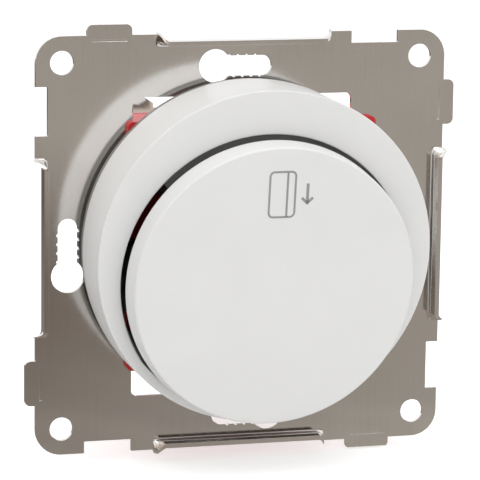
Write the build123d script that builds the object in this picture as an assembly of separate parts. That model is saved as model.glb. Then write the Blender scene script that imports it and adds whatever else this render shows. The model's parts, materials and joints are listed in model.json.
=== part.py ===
from build123d import *
import os
from math import atan2, cos, degrees, pi, radians, sin, sqrt, tan

os.makedirs("parts", exist_ok=True)

# A flush hotel key card switch, in millimetres.
# X is to the right, Z is up and the front faces -Y. The origin is the middle of the
# mounting plate's back face, which lies on the wall, so the wall box is on the +Y side.

# clearances shared by the whole switch
overrun = 2.0
moving_gap = 0.3
fit_gap = 0.1
pin_gap = 0.05
mould_corner = 0.5

# mounting plate
plate_side = 71.0
sheet = 0.8
corner_hole_pitch = 62.1
corner_hole_d = 4.0
side_feature_offset = 23.0
tab_width = 7.7
tab_reach = 1.8
tab_corner = 1.0
crease_inset = 0.9
crease_length = 6.0
crease_width = 0.35
crease_depth = 0.15
notch_width = 8.2
notch_depth = 2.05
box_screw_pitch = 60.0
slot_width = 3.4
slot_end_reach = 4.9
key_hole_offset = 4.86
key_hole_d = 5.65
slot_tooth_pitch = 1.5
slot_tooth_r = 0.25
slot_teeth = 4
window_width = 38.0
window_top = 25.0
window_bottom = 26.0
window_corner = 1.0
flap_root_run = 1.7
flap_root_drop = 0.87
flap_root_overlap = 0.5
flap_width = 3.5
flap_side_drop = 1.2
flap_reach = 2.8
flap_side_cut = 0.1
flap_angle = 18.0

# stiffening lip along each side of the plate
lip_straight = 27.3
lip_end_run = 1.5
lip_height = 3.1
lip_bend_r = 0.4
lip_outer_face = 34.6
lip_arc_steps = 4
lip_end_angle_shares = [1.0, 0.9, 0.66, 0.32, 0.0]
lip_end_place_shares = [0.0, 0.35, 0.68, 0.9, 1.0]

# ring cover with its leaning front face
ring_lift = 3.5
ring_r = 28.3
ring_front_reach = 15.75
ring_wall = 1.3
ring_front_wall = 1.8
ring_edge_r = 0.5
lean = 7.0

# disc in front of the card slot
disc_drop = 3.44
disc_inset = 4.3
disc_draft = 0.42
disc_depth = 5.0
disc_edge_r = 0.32
face_lean = 8.1
disc_wall = 1.8
card_gap = 1.43
mouth_margin = 0.42
foot_rise = 1.4
backing_depth = 1.4
spacer_r = 2.0
spacer_ring_r = 15.0
spacers = 4

# small screws
screw_r = 1.0
screw_head_r = 1.9
screw_head_depth = 1.3
screw_recess_width = 0.5
screw_recess_span = 2.2
screw_recess_depth = 0.7
screw_hole_gap = 0.2
disc_screw_length = 5.6
disc_screw_offset = 6.0
disc_screw_inset = 4.36
carrier_screw_length = 7.0
back_screw_length = 8.0

# carrier behind the ring's front wall
carrier_depth = 1.6
carrier_edge_gap = 0.4
side_slit_outer_inset = 2.9
side_slit_width = 2.9
side_slit_start = 137.0
side_slit_end = 214.0
lever_window_width = 5.2
lever_window_low = 0.4
lever_window_high = 8.6
column_r = 3.0
column_side_inset = 6.2
upper_column_gap = 1.85
lower_column_inset = 6.3
ear_width = 1.8
ear_height = 5.0
carrier_rim_inset = 0.3
carrier_rim_width = 3.5
carrier_web_width = 3.0

# steel springs that grip the ring cover
cover_spring_sheet = 0.4
cover_spring_width = 11.0
cover_spring_z = -4.0
cover_spring_foot = 3.0
cover_spring_knee = 4.2
cover_spring_rise = 7.4
cover_spring_grip_gap = 0.3

# housing
flange_corner_reach = 2.25
flange_height_inset = 0.8
flange_shift_x = 1.5
flange_shift_z = -0.13
flange_depth = 1.2
flange_corner = 1.0
body_height = 38.0
body_window_gap = 0.3
housing_wall = 1.6
housing_reach = 27.0
back_plate = 1.6
back_lip_depth = 1.4
back_lip_wall = 1.2
arm_window_width = 5.6
arm_window_low = -4.5
arm_window_high = 2.6
shelf_wall = 1.6
shelf_setback = 1.3
boss_r = 2.0
boss_sink = 0.8

# lever that the card pushes back
pivot_y = -8.5
pivot_z = -9.0
pin_r = 0.75
lever_hub_r = 2.0
lever_half_width = 2.9
nose_half_width = 2.0
blade_front_y = -10.8
blade_rear_y = -9.0
nose_top_z = 6.8
nose_shoulder_y = -16.4
nose_tip_y = -18.3
nose_tip_z = 3.3
nose_tip_height = 0.8
nose_root_z = 1.4
arm_half_height = 1.2
arm_tip_y = 2.0
lever_spring_sheet = 0.3
lever_spring_half_width = 1.6
lever_spring_foot_low = -16.5
lever_spring_foot_high = -12.6
lever_spring_top_z = -2.5

# switch block
case_width = 27.8
case_height = 10.3
case_wall = 1.2
plunger_head_r = 2.1
plunger_head_depth = 0.8
plunger_stem_r = 1.2
plunger_travel = 1.0
plunger_z = -0.5
pre_travel = 0.8
switch_pin_r = 1.5
switch_pin_inset = 2.8
switch_pin_setback = 3.1
arm_end_inset = 4.3
arm_depth_share = 0.352
arm_sheet = 0.6
arm_half_width = 1.8
arm_eye_r = 1.1
arm_pin_r = 0.5
arm_swing = 3.0
contact_r = 1.0
contact_inset = 1.6
contact_depth = 0.5
contact_strip = 0.8
contact_strip_half_width = 2.0
blade_inset = 7.0
blade_half_width = 1.6
blade_reach = 3.1
snap_spring_sheet = 0.25
snap_spring_half_width = 0.9

# terminals
bar_sheet = 0.8
bar_back_gap = 0.4
bar_half_width = 1.9
clamp_inset = 4.9
clamp_width = 7.0
clamp_height = 7.0
clamp_length = 12.0
clamp_sheet = 0.8
clamp_spring_sheet = 0.4
clamp_spring_half_height = 2.2
wire_hole_r = 1.6
wire_funnel_r = 2.3
wire_funnel_depth = 0.8
wire_offset = 0.5
button_half_width = 3.0
button_half_height = 2.0
button_proud = 1.8
button_wing_gap = 2.6
button_wing_depth = 1.5
button_wing_lead = 9.6

# places worked out from the sizes above
plate_front = -sheet
edge = plate_side / 2
ring_rear_y = plate_front - ring_lift
ring_inner_r = ring_r - ring_wall
lean_rise = tan(radians(lean))
face_rise = tan(radians(face_lean))
disc_plane_y = plate_front - ring_front_reach + disc_drop * lean_rise
disc_rear_r = ring_r - disc_inset
disc_front_r = disc_rear_r - disc_draft
card_frame = Pos(0, disc_plane_y, -disc_drop) * Rot(lean, 0, 0)
mouth_r = disc_rear_r + mouth_margin
far = 2 * ring_r
screw_line_z = disc_drop - ring_inner_r + disc_screw_inset
foot_top_z = screw_line_z + foot_rise
cap_roof_y = disc_wall - disc_depth - card_gap
carrier_rear = ring_front_wall + carrier_depth
side_slit_outer_r = ring_inner_r - side_slit_outer_inset
side_slit_inner_r = side_slit_outer_r - side_slit_width
body_width = window_width - 2 * body_window_gap
column_x = body_width / 2 - column_side_inset
lower_column_z = lower_column_inset - body_height / 2
flange_width = sqrt(2) * (ring_r + flange_corner_reach)
flange_height = flange_width - flange_height_inset
flange_front = plate_front - flange_depth
front_wall_rear = flange_front + housing_wall
shelf_z = case_height / 2 + fit_gap
upper_column_z = shelf_z + shelf_wall + screw_head_r + upper_column_gap
plunger_head_y = arm_tip_y + arm_half_height + moving_gap
case_front_y = plunger_head_y + plunger_head_depth + plunger_travel + fit_gap
bar_y = housing_reach - back_lip_depth - bar_back_gap - bar_sheet
case_rear_y = bar_y - blade_reach
arm_y = case_front_y + arm_depth_share * (case_rear_y - case_front_y)
arm_reach_x = case_width / 2 - arm_end_inset
arm_pivot_x = -arm_reach_x
contact_x = arm_reach_x - contact_inset
switch_pin_x = case_width / 2 - switch_pin_inset
switch_pin_y = case_rear_y - switch_pin_setback
blade_x = case_width / 2 - blade_inset
clamp_x = case_width / 2 - clamp_inset
wire_x = clamp_x + wire_offset
button_wing_x = clamp_x - button_wing_gap
clamp_low = shelf_z + shelf_wall + fit_gap
clamp_mid = clamp_low + clamp_height / 2
boss_x = body_width / 2 - housing_wall - boss_r + boss_sink
boss_z = body_height / 2 - housing_wall - boss_r + boss_sink
back_y = housing_reach + back_plate


def span(x0, x1, y0, y1, z0, z1):
    """A block between two values on each axis."""
    place = Pos((x0 + x1) / 2, (y0 + y1) / 2, (z0 + z1) / 2)
    return place * Box(x1 - x0, y1 - y0, z1 - z0)


def rod_x(radius, x0, x1, y, z):
    return Pos((x0 + x1) / 2, y, z) * Rot(0, 90, 0) * Cylinder(radius, x1 - x0)


def rod_y(radius, y0, y1, x, z):
    return Pos(x, (y0 + y1) / 2, z) * Rot(-90, 0, 0) * Cylinder(radius, y1 - y0)


def rod_z(radius, z0, z1, x, y):
    return Pos(x, y, (z0 + z1) / 2) * Cylinder(radius, z1 - z0)


def taper_y(radius0, radius1, y0, y1):
    return Pos(0, (y0 + y1) / 2, 0) * Rot(-90, 0, 0) * Cone(radius0, radius1, y1 - y0)


def sheet_between(outline, y0, y1):
    """An outline drawn in X and Z, given a thickness from y0 back to y1."""
    return Pos(0, y1, 0) * Rot(90, 0, 0) * extrude(outline, y1 - y0)


def side_profile(points, half_width):
    """A closed outline of (y, z) points, as wide as twice half_width about X = 0."""
    return extrude(Plane.YZ * make_face(Polyline(points, close=True)), half_width, both=True)


def offset_line(points, half):
    """The outline around a bent strip: its two sides are shifted along the mitred normals."""
    left = []
    right = []
    for i in range(len(points)):
        before = points[max(i - 1, 0)]
        after = points[min(i + 1, len(points) - 1)]
        here = points[i]
        normals = []
        for start, end in ((before, here), (here, after)):
            run = sqrt((end[0] - start[0]) ** 2 + (end[1] - start[1]) ** 2)
            if run > 0:
                normals.append(((start[1] - end[1]) / run, (end[0] - start[0]) / run))
        nx = sum(n[0] for n in normals) / len(normals)
        ny = sum(n[1] for n in normals) / len(normals)
        stretch = half / (nx * nx + ny * ny)
        left.append((here[0] + nx * stretch, here[1] + ny * stretch))
        right.append((here[0] - nx * stretch, here[1] - ny * stretch))
    return left + right[::-1]


def quarter_turns(shape):
    """The shape and its three copies turned about Y, clockwise as seen from the front."""
    return [Rot(0, 90 * turn, 0) * shape for turn in range(4)]


def pan_screw(length):
    """A cross-head screw with its tip at -Y and its head resting on the plane y = 0."""
    screw = rod_y(screw_r, -length, 0, 0, 0) + rod_y(screw_head_r, 0, screw_head_depth, 0, 0)
    recess_y = screw_head_depth - screw_recess_depth
    for half_x, half_z in ((screw_recess_width, screw_recess_span), (screw_recess_span, screw_recess_width)):
        screw -= span(-half_x / 2, half_x / 2, recess_y, screw_head_depth + overrun, -half_z / 2, half_z / 2)
    return screw


# mounting plate: one stamped sheet with the same four sides
def plate_blank():
    """The sheet's outline, with corners that are round about the corner holes."""
    corner_r = edge - corner_hole_pitch / 2
    blank = RectangleRounded(plate_side, plate_side, corner_r)
    tab_height = tab_reach + tab_corner
    for turn in range(4):
        tab = Pos(-side_feature_offset, edge + tab_reach - tab_height) * Rectangle(
            tab_width, 2 * tab_height)
        tab = fillet(tab.vertices(), tab_corner)
        blank += Rot(0, 0, -90 * turn) * tab
    for turn in range(4):
        notch = Pos(side_feature_offset, edge) * Rectangle(notch_width, 2 * notch_depth)
        blank -= Rot(0, 0, -90 * turn) * notch
    return blank


def keyhole():
    """A slot with a larger hole at one end and small teeth along both edges."""
    end_x = slot_end_reach - slot_width / 2
    half_pitch = box_screw_pitch / 2
    slot = Pos(0, half_pitch) * (
        Pos((end_x - key_hole_offset) / 2, 0) * Rectangle(end_x + key_hole_offset, slot_width)
        + Pos(end_x, 0) * Circle(slot_width / 2)
        + Pos(-key_hole_offset, 0) * Circle(key_hole_d / 2))
    middle = (end_x - key_hole_offset + key_hole_d / 2) / 2
    for side, shift in ((1, 0), (-1, slot_tooth_pitch / 2)):
        for tooth in range(slot_teeth):
            x = middle + shift + (tooth - slot_teeth / 2) * slot_tooth_pitch
            slot += Pos(x, half_pitch + side * slot_width / 2) * Circle(slot_tooth_r)
    return slot


def lip_section(along, angle):
    """The bent strip's outline at one place along the edge; at angle 0 it lies flat."""
    bend_start = lip_outer_face - lip_bend_r - sheet
    arc_run = (lip_bend_r + sheet / 2) * pi / 2
    flat_reach = edge - bend_start
    full_reach = arc_run + lip_height - lip_bend_r
    straight = flat_reach + (full_reach - flat_reach) * angle / 90 - arc_run
    turn = radians(angle)
    front = []
    rear = []
    for step in range(lip_arc_steps + 1):
        part = turn * step / lip_arc_steps
        if turn == 0:
            front.append((bend_start + arc_run * step / lip_arc_steps, 0))
            rear.append((bend_start + arc_run * step / lip_arc_steps, -sheet))
        else:
            middle_r = arc_run / turn
            inner_r = middle_r - sheet / 2
            outer_r = middle_r + sheet / 2
            front.append((bend_start + inner_r * sin(part), inner_r - inner_r * cos(part)))
            rear.append((bend_start + outer_r * sin(part), inner_r - outer_r * cos(part)))
    front.append((front[-1][0] + straight * cos(turn), front[-1][1] + straight * sin(turn)))
    rear.append((rear[-1][0] + straight * cos(turn), rear[-1][1] + straight * sin(turn)))
    points = [(along, plate_front - forward, out) for out, forward in front + rear[::-1]]
    return make_face(Polyline(points, close=True))


def plate_lip():
    """The top lip: straight in the middle, drawn down into the flat sheet at both ends."""
    half = lip_straight / 2
    places = [half + lip_end_run * share for share in lip_end_place_shares]
    angles = [90 * share for share in lip_end_angle_shares]
    sections = [lip_section(-place, angle) for place, angle in zip(places[::-1], angles[::-1])]
    sections += [lip_section(place, angle) for place, angle in zip(places, angles)]
    return loft(sections, ruled=True)


def plate_flap():
    """The small flap bent forward below a slanted line across the window's upper left corner."""
    corner_x = -window_width / 2
    root_left = (corner_x, window_top - flap_root_drop)
    root_right = (corner_x + flap_root_run, window_top)
    free_x = corner_x + flap_width
    free_z = window_top - flap_reach
    outline = [root_left, root_right, (free_x, window_top - flap_side_drop), (free_x, free_z),
               (corner_x, free_z)]
    flap = sheet_between(make_face(Polyline(outline, close=True)), plate_front, 0)
    flap -= span(corner_x - overrun, corner_x + flap_side_cut, plate_front - overrun, overrun,
                 free_z - overrun, window_top)
    bend = Axis((corner_x, 0, root_left[1]), (flap_root_run, 0, flap_root_drop))
    outer_x = corner_x - flap_root_overlap
    outer_z = window_top + flap_root_overlap
    root = [root_left, root_right, (root_right[0], outer_z), (outer_x, outer_z), (outer_x, root_left[1])]
    corner = sheet_between(make_face(Polyline(root, close=True)), plate_front, 0)
    return flap.rotate(bend, -flap_angle) + corner


def make_mounting_plate():
    blank = plate_blank()
    half_pitch = corner_hole_pitch / 2
    for x in (-half_pitch, half_pitch):
        for z in (-half_pitch, half_pitch):
            blank -= Pos(x, z) * Circle(corner_hole_d / 2)
    for turn in range(4):
        blank -= Rot(0, 0, -90 * turn) * keyhole()
    window_height = window_top + window_bottom
    blank -= Pos(0, (window_top - window_bottom) / 2) * RectangleRounded(
        window_width, window_height, window_corner)
    plate = sheet_between(blank, plate_front, 0)
    bend_start = lip_outer_face - lip_bend_r - sheet
    lip_half = lip_straight / 2 + lip_end_run
    strip = span(-lip_half, lip_half, plate_front - overrun, overrun, bend_start, edge + overrun)
    for cut in quarter_turns(strip):
        plate -= cut
    for lip in quarter_turns(plate_lip()):
        plate += lip
    crease_z = edge - crease_inset
    crease = span(-side_feature_offset - crease_length / 2, -side_feature_offset + crease_length / 2,
                  plate_front - overrun, plate_front + crease_depth,
                  crease_z - crease_width / 2, crease_z + crease_width / 2)
    for cut in quarter_turns(crease):
        plate -= cut
    flap = plate_flap()
    plate += flap
    plate += Pos(0, 0, window_top - window_bottom) * Rot(0, 180, 0) * flap
    return plate


def slab(depth0, depth1):
    """Everything between two planes that lean like the card, by their depths behind the ring's front."""
    return card_frame * span(-far, far, depth0, depth1, -far, far)


# ring cover: a round shell, cut off by the leaning card plane
def ring_body(radius, front_inset):
    """A round bar up to the plane that lies one front wall behind the ring's front."""
    return rod_y(radius, -far, ring_rear_y, 0, 0) - slab(-far, front_inset)


def mouth_outline(gap):
    """The card mouth: a circle about the disc, held inside the ring's own wall."""
    return Pos(0, -disc_drop) * Circle(mouth_r - gap) & Circle(ring_inner_r - ring_edge_r - gap)


def make_ring_cover():
    outer = ring_body(ring_r, 0)
    outer = fillet(outer.faces().sort_by(Axis.Y)[0].edges(), ring_edge_r)
    cover = outer - ring_body(ring_inner_r, ring_front_wall)
    cover -= span(-far, far, ring_rear_y, ring_rear_y + overrun, -far, far)
    return cover - sheet_between(mouth_outline(0), -far, far)


# disc: a shallow cap in front and a backing plate with the foot that carries both
def make_front_disc():
    rear_y = disc_plane_y - card_gap
    reach = disc_depth + disc_rear_r * (lean_rise + face_rise)
    slope = disc_draft / disc_depth
    cone = taper_y(disc_rear_r - slope * reach, disc_rear_r + slope * reach, rear_y - reach, rear_y + reach)
    cap = Pos(0, 0, -disc_drop) * cone - slab(-card_gap, far)
    cap &= Pos(0, rear_y - disc_depth, -disc_drop) * Rot(face_lean, 0, 0) * span(-far, far, 0, far, -far, far)
    cap = fillet(cap.faces().sort_by(Axis.Y)[0].edges(), disc_edge_r)
    hollow = rod_y(disc_front_r - disc_wall, cap_roof_y, -card_gap + overrun, 0, 0)
    return cap - card_frame * hollow


def spacer_places():
    """The spacers stand evenly on a circle about the disc's middle."""
    turns = [360 * (i + 1 / 2) / spacers for i in range(spacers)]
    return [(spacer_ring_r * cos(radians(t)), spacer_ring_r * sin(radians(t))) for t in turns]


def disc_screw_places():
    return [(side * disc_screw_offset, screw_line_z) for side in (-1, 1)]


def below_foot_top(depth0, depth1):
    return card_frame * span(-far, far, depth0, depth1, -far, foot_top_z)


def make_disc_backing():
    plate_r = disc_front_r - disc_wall - fit_gap
    plate_front_y = -card_gap - backing_depth
    backing = rod_y(plate_r, plate_front_y, -card_gap, 0, 0)
    for x, z in spacer_places():
        backing += rod_y(spacer_r, cap_roof_y, plate_front_y, x, z)
    for x, z in disc_screw_places():
        backing += rod_y(spacer_r, cap_roof_y, plate_front_y, x, z) & rod_y(
            plate_r, cap_roof_y, plate_front_y, 0, 0)
    skirt = rod_y(disc_front_r, -card_gap, 0, 0, 0) & span(-far, far, -card_gap, 0, -far, foot_top_z)
    backing = card_frame * (backing + skirt)
    backing += sheet_between(mouth_outline(fit_gap), -far, far) & below_foot_top(0, ring_front_wall)
    for x, z in disc_screw_places():
        backing -= card_frame * rod_y(screw_r, ring_front_wall - disc_screw_length,
                                      ring_front_wall + overrun, x, z)
    return backing


def make_disc_screws():
    screws = [Pos(x, carrier_rear, z) * pan_screw(disc_screw_length + carrier_depth - fit_gap)
              for x, z in disc_screw_places()]
    return card_frame * Compound(children=screws)


# carrier: holds the ring and the lever's pin in front of the housing
def column_places():
    return [(side * column_x, z) for z in (upper_column_z, lower_column_z) for side in (-1, 1)]


def arc_slit(start, end):
    """A curved slit about the disc's middle, between two angles in degrees."""
    slit = Circle(side_slit_outer_r) - Circle(side_slit_inner_r)
    reach = 2 * side_slit_outer_r
    corners = [(0, 0)]
    steps = 4
    for step in range(steps + 1):
        angle = radians(start + (end - start) * step / steps)
        corners.append((reach * cos(angle), reach * sin(angle)))
    return slit & make_face(Polyline(corners, close=True))


def carrier_rim():
    """The ring that fills the gap between the cover and the flange, with a web to each column."""
    rim_r = ring_r - carrier_rim_inset
    rim_front = ring_rear_y + fit_gap
    rim = rod_y(rim_r, rim_front, flange_front, 0, 0)
    rim -= rod_y(rim_r - carrier_rim_width, rim_front - overrun, flange_front + overrun, 0, 0)
    for x, z in column_places():
        web = span(sqrt(x * x + z * z), rim_r - carrier_rim_width / 2, rim_front, flange_front,
                   -carrier_web_width / 2, carrier_web_width / 2)
        rim += Rot(0, -degrees(atan2(z, x)), 0) * web
    return rim


def make_card_carrier():
    outline = Pos(0, disc_drop) * Circle(ring_inner_r - carrier_edge_gap)
    outline -= arc_slit(side_slit_start, side_slit_end)
    outline -= arc_slit(180 - side_slit_end, 180 - side_slit_start)
    window_mid = (lever_window_low + lever_window_high) / 2 + disc_drop
    outline -= Pos(0, window_mid) * RectangleRounded(
        lever_window_width, lever_window_high - lever_window_low, mould_corner)
    for x, z in disc_screw_places():
        outline -= Pos(x, z) * Circle(screw_r + screw_hole_gap)
    carrier = card_frame * sheet_between(outline, ring_front_wall, carrier_rear)
    behind = slab(ring_front_wall + carrier_depth / 2, far)
    for x, z in column_places():
        carrier += rod_y(column_r, -far, flange_front, x, z) & behind
    carrier += carrier_rim()
    for x, z in column_places()[:2]:
        carrier -= rod_y(screw_r, flange_front - carrier_screw_length + housing_wall,
                         flange_front + overrun, x, z)
    ear_inner = lever_half_width + moving_gap
    for side in (-1, 1):
        middle = side * (ear_inner + ear_width / 2)
        carrier += span(middle - ear_width / 2, middle + ear_width / 2, -far, pivot_y + ear_height / 2,
                        pivot_z - ear_height / 2, pivot_z + ear_height / 2) & behind
    pin_reach = ear_inner + ear_width + overrun
    return carrier - rod_x(pin_r, -pin_reach, pin_reach, pivot_y, pivot_z)


def make_carrier_screws():
    return Compound(children=[Pos(x, front_wall_rear, z) * pan_screw(carrier_screw_length - fit_gap)
                              for x, z in column_places()[:2]])


def make_cover_springs():
    """Two bent steel strips that stand on the flange and bulge towards the ring's wall."""
    half = cover_spring_sheet / 2
    edge_x = flange_width / 2 - flange_shift_x
    far_z = abs(cover_spring_z) + cover_spring_width / 2
    grip_r = ring_inner_r - cover_spring_grip_gap
    grip_x = sqrt(grip_r ** 2 - far_z ** 2) - half
    foot_y = flange_front - half
    path = [(edge_x - cover_spring_foot, foot_y),
            (edge_x - half, foot_y),
            (edge_x - half, foot_y - cover_spring_knee / 2),
            (grip_x, foot_y - cover_spring_knee),
            (edge_x + half, foot_y - cover_spring_rise)]
    face = make_face(Polyline(offset_line(path, half), close=True))
    spring = Pos(0, 0, cover_spring_z - cover_spring_width / 2) * extrude(face, cover_spring_width)
    return Compound(children=[spring, mirror(spring, Plane.YZ)])


# housing: the red box behind the plate, with a square flange in front of it
def make_housing():
    half_w = body_width / 2
    half_h = body_height / 2
    flange = sheet_between(RectangleRounded(flange_width, flange_height, flange_corner),
                           flange_front, plate_front)
    body = span(-half_w, half_w, plate_front, housing_reach, -half_h, half_h)
    room = span(-half_w + housing_wall, half_w - housing_wall, front_wall_rear, housing_reach + overrun,
                -half_h + housing_wall, half_h - housing_wall)
    housing = Pos(flange_shift_x, 0, flange_shift_z) * flange + body - room
    housing -= span(-arm_window_width / 2, arm_window_width / 2, flange_front - overrun,
                    front_wall_rear + overrun, arm_window_low, arm_window_high)
    for x, z in column_places()[:2]:
        housing -= rod_y(screw_r + screw_hole_gap, flange_front - overrun, front_wall_rear + overrun, x, z)
    for side in (-1, 1):
        low = min(side * shelf_z, side * (shelf_z + shelf_wall))
        housing += span(-half_w + housing_wall / 2, half_w - housing_wall / 2,
                        front_wall_rear - housing_wall / 2, case_rear_y - shelf_setback,
                        low, low + shelf_wall)
    for x in (-switch_pin_x, switch_pin_x):
        housing -= rod_z(switch_pin_r, -shelf_z - shelf_wall - overrun, shelf_z + shelf_wall + overrun,
                         x, switch_pin_y)
    boss_end = housing_reach - back_lip_depth
    for side in (-1, 1):
        housing += rod_y(boss_r, front_wall_rear - housing_wall / 2, boss_end, -side * boss_x, side * boss_z)
        housing -= rod_y(screw_r, boss_end - back_screw_length, boss_end + overrun,
                         -side * boss_x, side * boss_z)
    return housing


def make_housing_back():
    half_w = body_width / 2
    half_h = body_height / 2
    back = span(-half_w, half_w, housing_reach, back_y, -half_h, half_h)
    back = fillet(back.edges().filter_by(Axis.Y), mould_corner)
    lip_w = half_w - housing_wall - fit_gap
    lip_h = half_h - housing_wall - fit_gap
    lip_start = housing_reach - back_lip_depth
    lip_block = span(-lip_w, lip_w, lip_start, housing_reach, -lip_h, lip_h)
    lip = lip_block - span(-lip_w + back_lip_wall, lip_w - back_lip_wall, lip_start - overrun,
                           housing_reach + overrun, -lip_h + back_lip_wall, lip_h - back_lip_wall)
    for side in (-1, 1):
        lip += rod_y(boss_r, lip_start, housing_reach, -side * boss_x, side * boss_z) & lip_block
    back += lip
    for side in (-1, 1):
        back -= rod_y(screw_r + screw_hole_gap, lip_start - overrun, back_y + overrun,
                      -side * boss_x, side * boss_z)
        slot_w = button_half_width + fit_gap
        slot_h = button_half_height + fit_gap
        middle = side * clamp_mid
        back -= span(-slot_w, slot_w, housing_reach - overrun, back_y + overrun,
                     middle - slot_h, middle + slot_h)
        for x in (-wire_x, wire_x):
            back -= rod_y(wire_hole_r, housing_reach - overrun, back_y + overrun, x, middle)
            funnel = taper_y(wire_hole_r, wire_funnel_r, back_y - wire_funnel_depth, back_y)
            back -= Pos(x, 0, middle) * funnel
    return back


def make_back_screws():
    return Compound(children=[Pos(-side * boss_x, back_y, side * boss_z) * pan_screw(back_screw_length)
                              for side in (-1, 1)])


# lever: its nose stands in the card slot and its arm reaches the switch
def make_card_lever():
    blade = [(blade_rear_y, pivot_z), (blade_rear_y, nose_top_z), (blade_front_y, nose_top_z),
             (blade_front_y, pivot_z)]
    nose = [(blade_rear_y, nose_root_z), (blade_rear_y, nose_top_z), (nose_shoulder_y, nose_top_z),
            (nose_tip_y, nose_tip_z), (nose_tip_y + nose_tip_height / 2, nose_tip_z - nose_tip_height),
            (blade_front_y, nose_root_z)]
    lever = side_profile(blade, lever_half_width)
    lever += side_profile(nose, nose_half_width)
    lever += span(-nose_half_width, nose_half_width, blade_front_y, arm_tip_y,
                  -arm_half_height, arm_half_height)
    lever += rod_x(arm_half_height, -nose_half_width, nose_half_width, arm_tip_y, 0)
    lever += rod_x(lever_hub_r, -lever_half_width, lever_half_width, pivot_y, pivot_z)
    lever -= rod_x(pin_r + pin_gap, -lever_half_width - overrun, lever_half_width + overrun, pivot_y, pivot_z)
    return lever


def make_lever_pin():
    reach = lever_half_width + moving_gap + ear_width
    return rod_x(pin_r, -reach, reach, pivot_y, pivot_z)


def make_lever_spring():
    """A bent strip from the flange to the back of the lever's blade."""
    half = lever_spring_sheet / 2
    foot_y = flange_front - half
    top_y = blade_rear_y + moving_gap + half
    path = [(foot_y, lever_spring_foot_low), (foot_y, lever_spring_foot_high), (top_y, lever_spring_top_z)]
    return side_profile(offset_line(path, half), lever_spring_half_width)


# switch block with one moving arm between two contacts
def arm_rest_gap():
    return arm_sheet / 2 + contact_depth + fit_gap


def make_switch_case():
    half_w = case_width / 2
    half_h = case_height / 2
    case = span(-half_w, half_w, case_front_y, case_rear_y, -half_h, half_h - case_wall)
    case -= span(-half_w + case_wall, half_w - case_wall, case_front_y + case_wall, case_rear_y - case_wall,
                 -half_h + case_wall, half_h)
    case -= rod_y(plunger_stem_r + pin_gap, case_front_y - overrun, case_front_y + case_wall + overrun,
                  0, plunger_z)
    for x in (-switch_pin_x, switch_pin_x):
        case += rod_z(switch_pin_r + case_wall / 2, -half_h + case_wall / 2, half_h - case_wall,
                      x, switch_pin_y)
        case -= rod_z(switch_pin_r, -half_h - overrun, half_h + overrun, x, switch_pin_y)
    for x in blade_places():
        case -= span(x - blade_half_width, x + blade_half_width, case_rear_y - case_wall - overrun,
                     case_rear_y + overrun, -contact_strip / 2, contact_strip / 2)
    return case


def blade_places():
    return [-blade_x, 0, blade_x]


def make_switch_lid():
    half_w = case_width / 2
    half_h = case_height / 2
    lid = span(-half_w, half_w, case_front_y, case_rear_y, half_h - case_wall, half_h)
    for x in (-switch_pin_x, switch_pin_x):
        lid -= rod_z(switch_pin_r, 0, half_h + overrun, x, switch_pin_y)
    return lid


def make_switch_pins():
    reach = shelf_z + shelf_wall
    return Compound(children=[rod_z(switch_pin_r, -reach, reach, x, switch_pin_y)
                              for x in (-switch_pin_x, switch_pin_x)])


def make_switch_plunger():
    stem_end = arm_y - arm_sheet / 2 - pre_travel
    plunger = rod_y(plunger_head_r, plunger_head_y, plunger_head_y + plunger_head_depth, 0, plunger_z)
    return plunger + rod_y(plunger_stem_r, plunger_head_y, stem_end, 0, plunger_z)


def make_contact_arm():
    half = arm_sheet / 2
    arm = span(arm_pivot_x, arm_reach_x, arm_y - half, arm_y + half, -arm_half_width, arm_half_width)
    arm += rod_z(arm_eye_r, -arm_half_width, arm_half_width, arm_pivot_x, arm_y)
    arm -= rod_z(arm_pin_r + pin_gap, -arm_half_width - overrun, arm_half_width + overrun, arm_pivot_x, arm_y)
    return arm + rod_y(contact_r, arm_y - half - contact_depth, arm_y + half + contact_depth, contact_x, 0)


def contact_blade(x, start_y):
    return span(x - blade_half_width, x + blade_half_width, start_y, bar_y,
                -contact_strip / 2, contact_strip / 2)


def make_common_contact():
    """The strip that holds the arm's pin and leaves the case at the left."""
    floor_z = -case_height / 2 + case_wall
    strip_top = -arm_half_width - moving_gap
    contact = rod_z(arm_pin_r, floor_z, arm_half_width, arm_pivot_x, arm_y)
    blade = blade_places()[0]
    riser_y = case_rear_y - 2 * case_wall - contact_strip
    contact += span(arm_pivot_x - arm_eye_r, blade + blade_half_width, arm_y - arm_eye_r, arm_y + arm_eye_r,
                    strip_top - contact_strip, strip_top)
    contact += span(blade - blade_half_width, blade + blade_half_width, arm_y, riser_y + contact_strip,
                    strip_top - contact_strip, strip_top)
    contact += span(blade - blade_half_width, blade + blade_half_width, riser_y, riser_y + contact_strip,
                    strip_top - contact_strip, contact_strip / 2)
    return contact + contact_blade(blade, riser_y)


def make_break_contact():
    """The fixed contact in front of the arm, with its strip under the arm to the middle blade."""
    face_y = arm_y - arm_rest_gap()
    floor_z = -case_height / 2 + case_wall
    half = contact_strip_half_width
    contact = rod_y(contact_r, face_y - contact_depth, face_y, contact_x, 0)
    plate_y = face_y - contact_depth
    contact += span(contact_x - half, contact_x + half, plate_y - contact_strip, plate_y, floor_z, half)
    blade = blade_places()[1]
    riser_y = case_rear_y - 2 * case_wall - contact_strip
    contact += span(contact_x - half, contact_x, plate_y - contact_strip, riser_y + contact_strip,
                    floor_z, floor_z + contact_strip)
    contact += span(blade - blade_half_width, contact_x, riser_y, riser_y + contact_strip,
                    floor_z, floor_z + contact_strip)
    contact += span(blade - blade_half_width, blade + blade_half_width, riser_y, riser_y + contact_strip,
                    floor_z, contact_strip / 2)
    return contact + contact_blade(blade, riser_y)


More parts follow.
